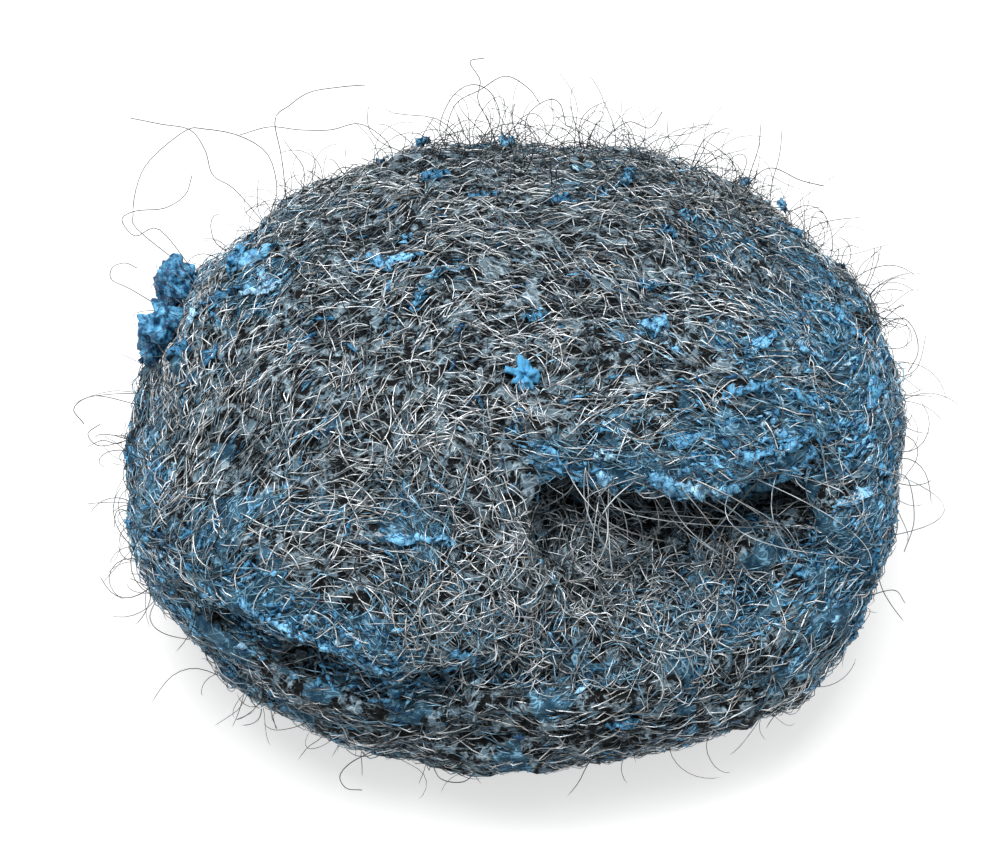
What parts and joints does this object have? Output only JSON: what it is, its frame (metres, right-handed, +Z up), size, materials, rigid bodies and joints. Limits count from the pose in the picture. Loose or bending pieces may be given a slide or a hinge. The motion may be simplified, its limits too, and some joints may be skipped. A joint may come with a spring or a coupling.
{
  "type": "steel wool bundle",
  "caption": "Oval scouring pad of fine steel wool, wound flat and folded over itself, with blue soap worked into it and an open fold at the front.",
  "frame": {"origin": "on the surface that the pad lies on, under the middle of its bounding box", "axes": "+X along the pad's long side, +Z up out of the surface it lies on, and the open fold faces -Y"},
  "size_m": [0.0752, 0.0661, 0.0358],
  "materials": {
    "steel_wool": "satin",
    "blue_soap": "matte"
  },
  "bodies": {
    "root": {"wool_pad": "steel_wool", "soap_lump_upper": "blue_soap", "soap_lump_lower": "blue_soap", "soap_bead_middle": "blue_soap"}
  },
  "joints": []
}
